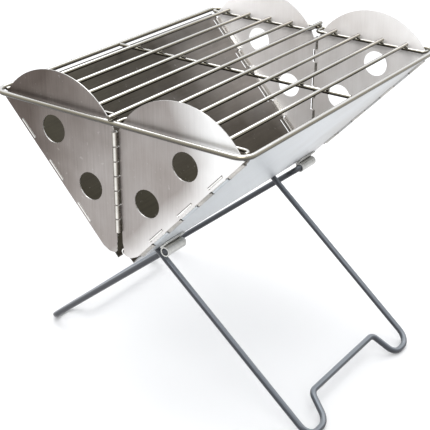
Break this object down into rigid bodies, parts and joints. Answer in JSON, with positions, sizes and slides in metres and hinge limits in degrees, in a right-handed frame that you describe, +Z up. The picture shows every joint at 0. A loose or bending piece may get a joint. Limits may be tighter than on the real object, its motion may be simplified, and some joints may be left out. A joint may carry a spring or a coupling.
{
  "type": "folding camp grill",
  "caption": "Flat-pack camp grill: a V-shaped fire bowl of hinged stainless sheet with arched end leaves, crossed wire legs and a lift-off wire grate.",
  "frame": {"origin": "on the ground under the middle of the bowl, grill opened out and standing on its feet", "axes": "+Z up; Y along the bowl and its bottom hinge, near end at -Y; X across the bowl, +X to the right seen from the near end"},
  "size_m": [0.3384, 0.346, 0.32],
  "materials": {
    "sheet_steel": "brushed stainless sheet with a warm heat tint",
    "grate_wire": "bright stainless wire",
    "pin_steel": "plain steel pin",
    "leg_coat": "dark semi-gloss coating"
  },
  "bodies": {
    "base": {"bottom_hinge_pin": "pin_steel"},
    "left_side": {"left_side_panel": "sheet_steel", "near_left_corner_pin": "pin_steel", "far_left_corner_pin": "pin_steel", "near_left_leg_clip": "sheet_steel", "far_left_leg_clip": "sheet_steel"},
    "left_leg": {"left_leg_frame": "leg_coat"},
    "right_side": {"right_side_panel": "sheet_steel", "near_right_corner_pin": "pin_steel", "far_right_corner_pin": "pin_steel", "near_right_leg_clip": "sheet_steel", "far_right_leg_clip": "sheet_steel"},
    "right_leg": {"right_leg_frame": "leg_coat"},
    "near_post": {"near_centre_hinge_pin": "pin_steel"},
    "near_left_end": {"near_left_leaf": "sheet_steel"},
    "near_right_end": {"near_right_leaf": "sheet_steel"},
    "far_post": {"far_centre_hinge_pin": "pin_steel"},
    "far_left_end": {"far_left_leaf": "sheet_steel"},
    "far_right_end": {"far_right_leaf": "sheet_steel"},
    "grate": {"grate_rim": "grate_wire", "grate_mid_wire": "grate_wire", "grate_bar_1": "grate_wire", "grate_bar_2": "grate_wire", "grate_bar_3": "grate_wire", "grate_bar_4": "grate_wire", "grate_bar_5": "grate_wire", "grate_bar_6": "grate_wire", "grate_bar_7": "grate_wire", "grate_bar_8": "grate_wire", "grate_bar_9": "grate_wire", "grate_slot_wire_near_left": "grate_wire", "grate_slot_wire_near_right": "grate_wire", "grate_slot_wire_far_left": "grate_wire", "grate_slot_wire_far_right": "grate_wire"}
  },
  "joints": [
    {"name": "left_side_fold", "type": "hinge", "parent": "base", "child": "left_side", "pos_m": [0, 0, 0.1645], "axis": [0, 1, 0], "range_deg": [0, 43]},
    {"name": "right_side_fold", "type": "hinge", "parent": "base", "child": "right_side", "pos_m": [0, 0, 0.1645], "axis": [0, -1, 0], "range_deg": [0, 43]},
    {"name": "left_leg_swing", "type": "hinge", "parent": "left_side", "child": "left_leg", "pos_m": [-0.0139, 0, 0.15154], "axis": [0, -1, 0], "range_deg": [0, 40]},
    {"name": "right_leg_swing", "type": "hinge", "parent": "right_side", "child": "right_leg", "pos_m": [0.0139, 0, 0.15154], "axis": [0, 1, 0], "range_deg": [0, 40]},
    {"name": "near_wall_tilt", "type": "hinge", "parent": "base", "child": "near_post", "pos_m": [0, -0.1657, 0.1565], "axis": [-1, 0, 0], "range_deg": [0, 40]},
    {"name": "near_left_leaf_turn", "type": "hinge", "parent": "near_post", "child": "near_left_end", "pos_m": [0, -0.1657, 0.2345], "axis": [0, 0, 1], "range_deg": [0, 90]},
    {"name": "near_right_leaf_turn", "type": "hinge", "parent": "near_post", "child": "near_right_end", "pos_m": [0, -0.1657, 0.2345], "axis": [0, 0, -1], "range_deg": [0, 90]},
    {"name": "far_wall_tilt", "type": "hinge", "parent": "base", "child": "far_post", "pos_m": [0, 0.1657, 0.1565], "axis": [1, 0, 0], "range_deg": [0, 40]},
    {"name": "far_left_leaf_turn", "type": "hinge", "parent": "far_post", "child": "far_left_end", "pos_m": [0, 0.1657, 0.2345], "axis": [0, 0, -1], "range_deg": [0, 90]},
    {"name": "far_right_leaf_turn", "type": "hinge", "parent": "far_post", "child": "far_right_end", "pos_m": [0, 0.1657, 0.2345], "axis": [0, 0, 1], "range_deg": [0, 90]},
    {"name": "grate_lift", "type": "slide", "parent": "base", "child": "grate", "axis": [0, 0, 1], "range_m": [0, 0.33]}
  ],
  "couplings": [
    {"joint": "right_side_fold", "follows": "left_side_fold", "ratio": 1},
    {"joint": "left_leg_swing", "follows": "left_side_fold", "ratio": 0.92},
    {"joint": "right_leg_swing", "follows": "left_side_fold", "ratio": 0.92},
    {"joint": "near_wall_tilt", "follows": "left_side_fold", "ratio": 0.93},
    {"joint": "near_left_leaf_turn", "follows": "left_side_fold", "ratio": 2.09},
    {"joint": "near_right_leaf_turn", "follows": "left_side_fold", "ratio": 2.09},
    {"joint": "far_wall_tilt", "follows": "left_side_fold", "ratio": 0.93},
    {"joint": "far_left_leaf_turn", "follows": "left_side_fold", "ratio": 2.09},
    {"joint": "far_right_leaf_turn", "follows": "left_side_fold", "ratio": 2.09},
    {"joint": "grate_lift", "follows": "left_side_fold", "m_per_rad": 0.439}
  ]
}
